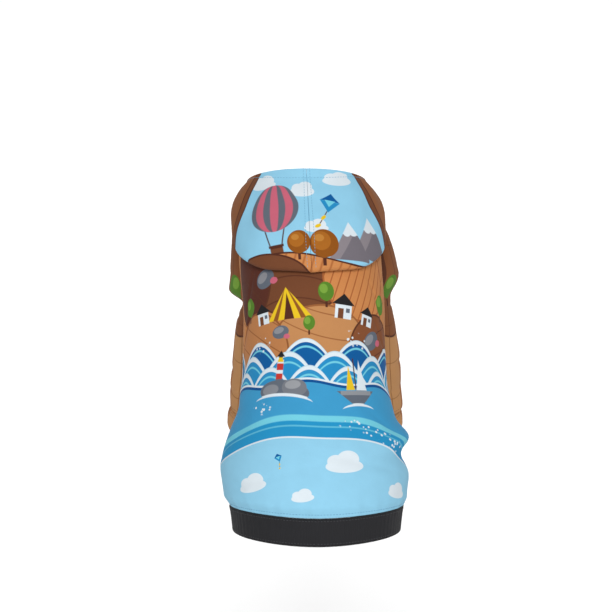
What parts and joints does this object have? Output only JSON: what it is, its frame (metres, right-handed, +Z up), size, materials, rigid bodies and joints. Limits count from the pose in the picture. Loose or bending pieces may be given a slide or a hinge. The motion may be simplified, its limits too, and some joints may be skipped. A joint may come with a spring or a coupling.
{
  "type": "dog hoodie",
  "caption": "Printed pullover hoodie for a dog, in its worn form: open body tube with a short belly, sleeves with turned cuffs, hood lying down on the back and a ribbed hem band.",
  "frame": {"origin": "where the cloth sits on the withers, on the inner face of the back panel 45 mm below the neckline, on the middle line of the back", "axes": "+Z up, +Y towards the wearer's head and chest, +X to the wearer's right, which is the right in a view from behind"},
  "size_m": [0.2063, 0.3727, 0.3903],
  "materials": {
    "body_cloth": "brushed jersey, printed with hills, waves and sky",
    "sleeve_cloth": "brushed jersey, printed in brown and tan",
    "hood_cloth": "brushed jersey, printed as a light sky",
    "rib_knit": "charcoal rib knit"
  },
  "bodies": {
    "root": {"back_panel": "body_cloth", "belly_panel": "body_cloth", "sleeve_left": "sleeve_cloth", "sleeve_right": "sleeve_cloth", "cuff_left": "sleeve_cloth", "cuff_right": "sleeve_cloth", "hood_left": "hood_cloth", "hood_right": "hood_cloth", "hem_band": "rib_knit"}
  },
  "joints": []
}
